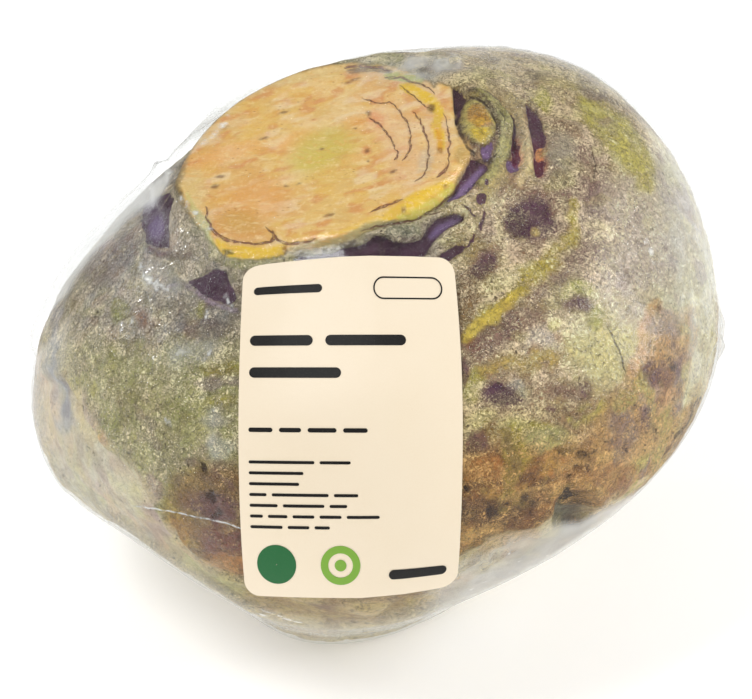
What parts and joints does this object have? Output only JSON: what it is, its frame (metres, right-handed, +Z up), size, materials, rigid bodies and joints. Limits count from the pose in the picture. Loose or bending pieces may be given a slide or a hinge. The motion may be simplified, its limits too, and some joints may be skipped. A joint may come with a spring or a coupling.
{
  "type": "rutabaga",
  "caption": "Whole topped rutabaga in tight clear shrink film with a paper label on its front, standing crown up on its trimmed tap root.",
  "frame": {"origin": "on the resting plane, midway along the whole object's width and depth", "axes": "+Z up; the label is on the front and faces -Y and up; +X is to the right seen from the front, along the width"},
  "size_m": [0.1392, 0.134, 0.1145],
  "materials": {
    "rutabaga_skin": "rough",
    "clear_film": "gloss",
    "label_paper": "satin"
  },
  "bodies": {
    "root": {"rutabaga": "rutabaga_skin", "shrink_film": "clear_film", "paper_label": "label_paper"}
  },
  "joints": []
}
